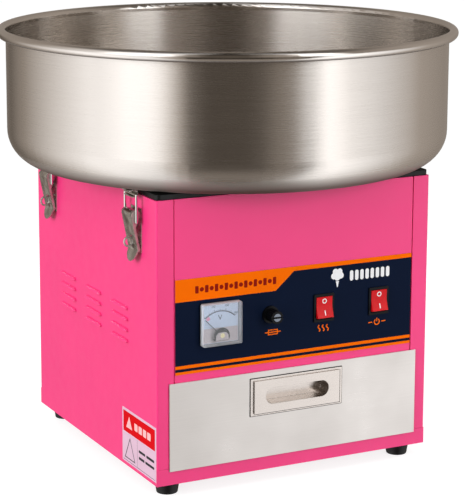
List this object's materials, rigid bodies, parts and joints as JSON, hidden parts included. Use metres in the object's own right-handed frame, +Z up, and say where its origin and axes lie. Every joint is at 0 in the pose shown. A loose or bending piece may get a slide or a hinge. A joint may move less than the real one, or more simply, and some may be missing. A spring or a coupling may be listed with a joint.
{
  "type": "cotton candy machine",
  "caption": "Tabletop candy floss machine: square pink cabinet with a control panel and crumb drawer, latched steel bowl and a spinning heated head.",
  "frame": {"origin": "on the floor, on the spinner's axis, under the centre of the bowl", "axes": "+Z up; the control panel and drawer face -Y; +X is to the right of someone facing the controls"},
  "size_m": [0.52, 0.52, 0.484],
  "materials": {
    "pink_paint": "semi-gloss powder coat",
    "gasket_rubber": "matt",
    "overlay_print": "satin printed film, orange and navy",
    "label_print": "printed film",
    "foot_rubber": "matt",
    "screw_steel": "zinc plated",
    "black_plastic": "moulded",
    "ivory_plastic": "moulded",
    "galvanised_steel": "galvanised sheet",
    "dial_print": "printed card",
    "clear_plastic": "clear polystyrene",
    "needle_paint": "matt black",
    "red_plastic": "moulded, translucent red",
    "fuse_metal": "nickel plated",
    "motor_paint": "grey paint",
    "winding_copper": "lacquered winding",
    "shaft_steel": "ground",
    "cast_aluminium": "machined",
    "belt_rubber": "matt",
    "ring_brass": "turned, on an insulating hub",
    "brown_plastic": "phenolic board",
    "carbon": "carbon",
    "heater_metal": "oxidised resistance wire on ceramic posts",
    "brushed_stainless": "fine horizontal brush",
    "handle_stainless": "satin",
    "latch_steel": "bright pressed steel",
    "wire_steel": "polished wire",
    "bowl_stainless": "spun and brushed round the wall"
  },
  "bodies": {
    "cabinet": {"base_pan": "pink_paint", "left_side_panel": "pink_paint", "right_side_panel": "pink_paint", "rear_panel": "pink_paint", "front_panel": "pink_paint", "top_plate": "pink_paint", "top_gasket": "gasket_rubber", "control_overlay": "overlay_print", "side_label": "label_print", "feet": "foot_rubber", "cabinet_screws": "screw_steel", "cable_gland": "black_plastic", "terminal_block": "ivory_plastic", "drive_deck": "galvanised_steel", "drawer_runners": "galvanised_steel", "meter_housing": "black_plastic", "meter_dial": "dial_print", "meter_cover": "clear_plastic", "heat_switch_body": "black_plastic", "power_switch_body": "black_plastic", "fuse_holder": "black_plastic", "motor_isolators": "foot_rubber", "motor_plate": "galvanised_steel", "motor_housing": "motor_paint", "motor_stator": "winding_copper", "drive_belt": "belt_rubber", "bearing_housing": "cast_aluminium", "bearing_outer_rings": "shaft_steel", "brush_holder": "brown_plastic", "brushes": "carbon", "latch_bases": "latch_steel"},
    "spinner": {"driven_pulley": "cast_aluminium", "bearing_inner_rings": "shaft_steel", "spinner_shaft": "shaft_steel", "slip_rings": "ring_brass", "spinner_base": "cast_aluminium", "heater_element": "heater_metal", "spinner_mesh": "cast_aluminium", "spinner_cap": "cast_aluminium", "spinner_screws": "screw_steel"},
    "rotor": {"motor_rotor": "shaft_steel", "motor_pulley": "cast_aluminium"},
    "drawer": {"drawer_box": "galvanised_steel", "drawer_front": "brushed_stainless", "drawer_handle": "handle_stainless"},
    "bowl_unit": {"bowl": "bowl_stainless", "bowl_catches": "latch_steel"},
    "needle": {"meter_needle": "needle_paint"},
    "heat_button": {"heat_rocker": "red_plastic"},
    "power_button": {"power_rocker": "red_plastic"},
    "fuse_carrier": {"fuse_link": "fuse_metal"},
    "fuse_knob": {"fuse_cap": "black_plastic"},
    "front_left_latch_lever": {"front_left_lever": "latch_steel"},
    "front_left_latch_bail": {"front_left_bail": "wire_steel"},
    "rear_left_latch_lever": {"rear_left_lever": "latch_steel"},
    "rear_left_latch_bail": {"rear_left_bail": "wire_steel"},
    "front_right_latch_lever": {"front_right_lever": "latch_steel"},
    "front_right_latch_bail": {"front_right_bail": "wire_steel"},
    "rear_right_latch_lever": {"rear_right_lever": "latch_steel"},
    "rear_right_latch_bail": {"rear_right_bail": "wire_steel"}
  },
  "joints": [
    {"name": "spinner_spin", "type": "hinge", "parent": "cabinet", "child": "spinner", "pos_m": [0, 0, 0], "axis": [0, 0, 1], "continuous": true},
    {"name": "motor_spin", "type": "hinge", "parent": "cabinet", "child": "rotor", "pos_m": [0.095, 0.06, 0], "axis": [0, 0, 1], "continuous": true},
    {"name": "drawer_slide", "type": "slide", "parent": "cabinet", "child": "drawer", "axis": [0, -1, 0], "range_m": [0, 0.22]},
    {"name": "bowl_lift", "type": "slide", "parent": "cabinet", "child": "bowl_unit", "axis": [0, 0, 1], "range_m": [0, 0.2]},
    {"name": "needle_swing", "type": "hinge", "parent": "cabinet", "child": "needle", "pos_m": [-0.094, -0.1724, 0.1745], "axis": [0, 1, 0], "range_deg": [0, 90], "stiffness_Nm_per_rad": 0.0001, "springref_deg": -17.19},
    {"name": "heat_tilt", "type": "hinge", "parent": "cabinet", "child": "heat_button", "pos_m": [0.0335, -0.1662, 0.1892], "axis": [1, 0, 0], "range_deg": [0, 18]},
    {"name": "power_tilt", "type": "hinge", "parent": "cabinet", "child": "power_button", "pos_m": [0.103, -0.1662, 0.1892], "axis": [1, 0, 0], "range_deg": [0, 18]},
    {"name": "fuse_pull", "type": "slide", "parent": "cabinet", "child": "fuse_carrier", "axis": [0, -1, 0], "range_m": [0, 0.035]},
    {"name": "fuse_turn", "type": "hinge", "parent": "fuse_carrier", "child": "fuse_knob", "pos_m": [-0.0325, -0.1674, 0.1892], "axis": [0, 1, 0], "range_deg": [0, 90]},
    {"name": "front_left_lever_swing", "type": "hinge", "parent": "cabinet", "child": "front_left_latch_lever", "pos_m": [-0.174, -0.119, 0.304], "axis": [0, 1, 0], "range_deg": [0, 105]},
    {"name": "front_left_bail_swing", "type": "hinge", "parent": "front_left_latch_lever", "child": "front_left_latch_bail", "pos_m": [-0.174, -0.119, 0.297], "axis": [0, 1, 0], "range_deg": [-150, 0]},
    {"name": "rear_left_lever_swing", "type": "hinge", "parent": "cabinet", "child": "rear_left_latch_lever", "pos_m": [-0.174, 0.119, 0.304], "axis": [0, 1, 0], "range_deg": [0, 105]},
    {"name": "rear_left_bail_swing", "type": "hinge", "parent": "rear_left_latch_lever", "child": "rear_left_latch_bail", "pos_m": [-0.174, 0.119, 0.297], "axis": [0, 1, 0], "range_deg": [-150, 0]},
    {"name": "front_right_lever_swing", "type": "hinge", "parent": "cabinet", "child": "front_right_latch_lever", "pos_m": [0.174, -0.119, 0.304], "axis": [0, -1, 0], "range_deg": [0, 105]},
    {"name": "front_right_bail_swing", "type": "hinge", "parent": "front_right_latch_lever", "child": "front_right_latch_bail", "pos_m": [0.174, -0.119, 0.297], "axis": [0, -1, 0], "range_deg": [-150, 0]},
    {"name": "rear_right_lever_swing", "type": "hinge", "parent": "cabinet", "child": "rear_right_latch_lever", "pos_m": [0.174, 0.119, 0.304], "axis": [0, -1, 0], "range_deg": [0, 105]},
    {"name": "rear_right_bail_swing", "type": "hinge", "parent": "rear_right_latch_lever", "child": "rear_right_latch_bail", "pos_m": [0.174, 0.119, 0.297], "axis": [0, -1, 0], "range_deg": [-150, 0]}
  ],
  "couplings": [
    {"joint": "motor_spin", "follows": "spinner_spin", "ratio": 2},
    {"joint": "front_left_bail_swing", "follows": "front_left_lever_swing", "ratio": -1.4},
    {"joint": "rear_left_bail_swing", "follows": "rear_left_lever_swing", "ratio": -1.4},
    {"joint": "front_right_bail_swing", "follows": "front_right_lever_swing", "ratio": -1.4},
    {"joint": "rear_right_bail_swing", "follows": "rear_right_lever_swing", "ratio": -1.4}
  ]
}
